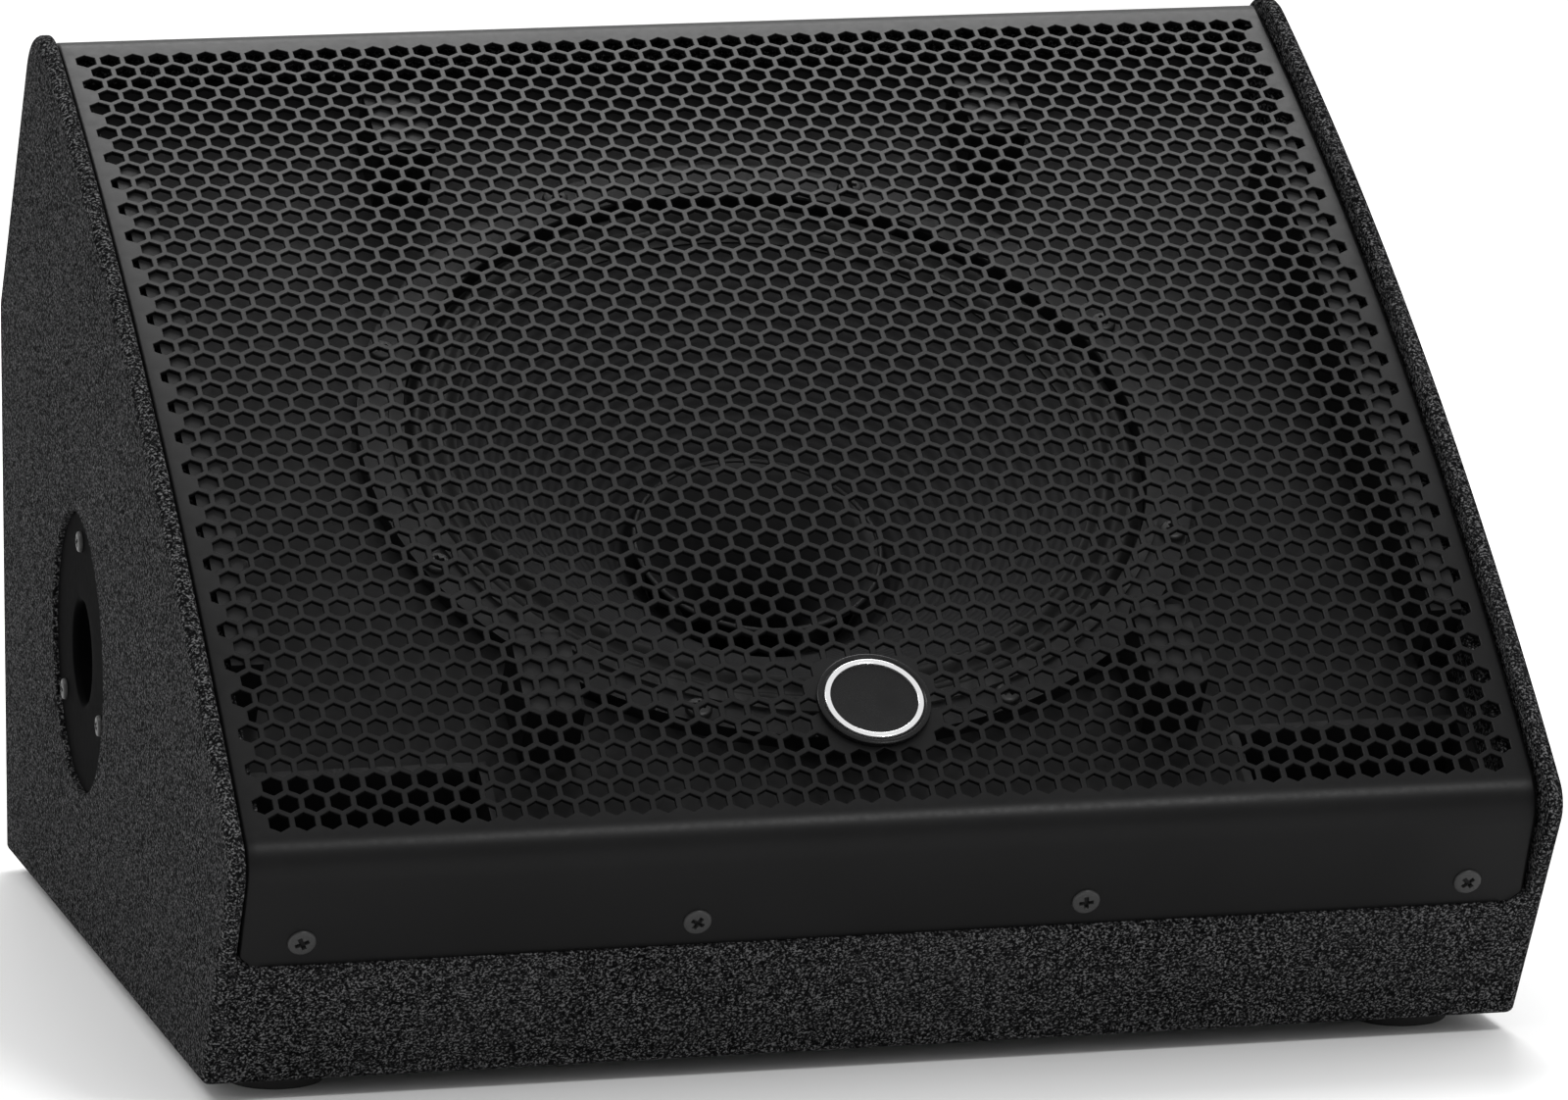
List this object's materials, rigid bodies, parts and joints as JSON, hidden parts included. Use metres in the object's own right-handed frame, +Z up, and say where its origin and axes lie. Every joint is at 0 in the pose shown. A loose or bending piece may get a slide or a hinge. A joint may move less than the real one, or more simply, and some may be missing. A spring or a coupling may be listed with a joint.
{
  "type": "stage monitor wedge",
  "caption": "Low wedge-shaped stage loudspeaker with a bowed perforated grille, a coaxial driver, a side pole socket, a carrying handle and a rear amplifier panel.",
  "frame": {"origin": "on the floor under the middle of the cabinet", "axes": "+X towards the side with the handle, -Y the way the grille faces, +Z up"},
  "size_m": [0.458, 0.4342, 0.3198],
  "materials": {
    "painted_plywood": "textured charcoal paint",
    "grille_steel": "satin powder coat",
    "dark_plastic": "moulded",
    "blackened_steel": "black oxide",
    "zinc_steel": "zinc plated",
    "cast_metal": "satin black coat",
    "rubber": "matt",
    "cone_paper": "ribbed pulp",
    "surround_cloth": "doped cloth",
    "spider_cloth": "woven",
    "copper_wire": "enamelled",
    "ferrite": "ground",
    "circuit_board": "solder mask",
    "badge_metal": "polished",
    "status_light": "clear",
    "lead_jacket": "moulded",
    "lining_wool": "fibrous",
    "fin_metal": "anodised"
  },
  "bodies": {
    "cabinet": {"side_panel_left": "painted_plywood", "side_panel_right": "painted_plywood", "bottom_panel": "painted_plywood", "rear_panel": "painted_plywood", "upper_rear_panel": "painted_plywood", "lower_front_panel": "painted_plywood", "baffle": "painted_plywood", "port_duct_left": "dark_plastic", "port_duct_right": "dark_plastic", "damping_lining": "lining_wool", "feet": "rubber", "foot_screws": "zinc_steel", "grille": "grille_steel", "grille_screws": "blackened_steel", "grille_rails": "dark_plastic", "grille_spacers": "dark_plastic", "badge_plate": "dark_plastic", "badge_ring": "badge_metal", "pole_socket": "cast_metal", "pole_socket_screws": "blackened_steel", "handle_dish": "dark_plastic", "handle_grip": "rubber", "handle_screws": "blackened_steel", "woofer_basket": "cast_metal", "woofer_gasket": "rubber", "woofer_screws": "blackened_steel", "woofer_surround": "surround_cloth", "woofer_spider": "spider_cloth", "woofer_top_plate": "zinc_steel", "woofer_magnet": "ferrite", "pole_piece": "zinc_steel", "horn": "dark_plastic", "phase_plug": "dark_plastic", "tweeter_magnet": "ferrite", "tweeter_cover": "dark_plastic", "amp_panel": "cast_metal", "amp_panel_screws": "blackened_steel", "heat_sink": "fin_metal", "amp_board": "circuit_board", "power_board": "circuit_board", "input_socket_a": "dark_plastic", "input_socket_b": "dark_plastic", "link_socket": "dark_plastic", "mains_inlet": "dark_plastic", "switch_frames": "dark_plastic", "level_pots": "zinc_steel", "indicator_lights": "status_light", "driver_leads": "lead_jacket"},
    "cone_assembly": {"woofer_cone": "cone_paper", "coil_former": "spider_cloth", "voice_coil": "copper_wire"},
    "high_frequency_dome": {"tweeter_diaphragm": "zinc_steel"},
    "level_control_a": {"level_knob_a": "dark_plastic"},
    "level_control_b": {"level_knob_b": "dark_plastic"},
    "rocker": {"power_rocker": "dark_plastic"},
    "contour_control": {"contour_slider": "dark_plastic"},
    "filter_control": {"filter_slider": "dark_plastic"},
    "latch_a": {"socket_latch_a": "zinc_steel"},
    "latch_b": {"socket_latch_b": "zinc_steel"}
  },
  "joints": [
    {"name": "cone_travel", "type": "slide", "parent": "cabinet", "child": "cone_assembly", "axis": [0, -0.5446, 0.8387], "range_m": [-0.005, 0.005], "stiffness_N_per_m": 3500, "deforming": ["woofer_surround", "woofer_spider"]},
    {"name": "dome_travel", "type": "slide", "parent": "cabinet", "child": "high_frequency_dome", "axis": [0, -0.5446, 0.8387], "range_m": [-0.0003, 0.0003], "stiffness_N_per_m": 4000},
    {"name": "level_a_turn", "type": "hinge", "parent": "cabinet", "child": "level_control_a", "pos_m": [0.116, 0.19327, 0.081], "axis": [0, 1, 0], "range_deg": [-150, 150]},
    {"name": "level_b_turn", "type": "hinge", "parent": "cabinet", "child": "level_control_b", "pos_m": [0.08, 0.19327, 0.081], "axis": [0, 1, 0], "range_deg": [-150, 150]},
    {"name": "power_rock", "type": "hinge", "parent": "cabinet", "child": "rocker", "pos_m": [-0.018, 0.18527, 0.117], "axis": [1, 0, 0], "range_deg": [0, 16]},
    {"name": "contour_slide", "type": "slide", "parent": "cabinet", "child": "contour_control", "axis": [-1, 0, 0], "range_m": [0, 0.005]},
    {"name": "filter_slide", "type": "slide", "parent": "cabinet", "child": "filter_control", "axis": [-1, 0, 0], "range_m": [0, 0.005]},
    {"name": "latch_a_press", "type": "slide", "parent": "cabinet", "child": "latch_a", "axis": [0, -1, 0], "range_m": [0, 0.0015], "stiffness_N_per_m": 600},
    {"name": "latch_b_press", "type": "slide", "parent": "cabinet", "child": "latch_b", "axis": [0, -1, 0], "range_m": [0, 0.0015], "stiffness_N_per_m": 600}
  ]
}
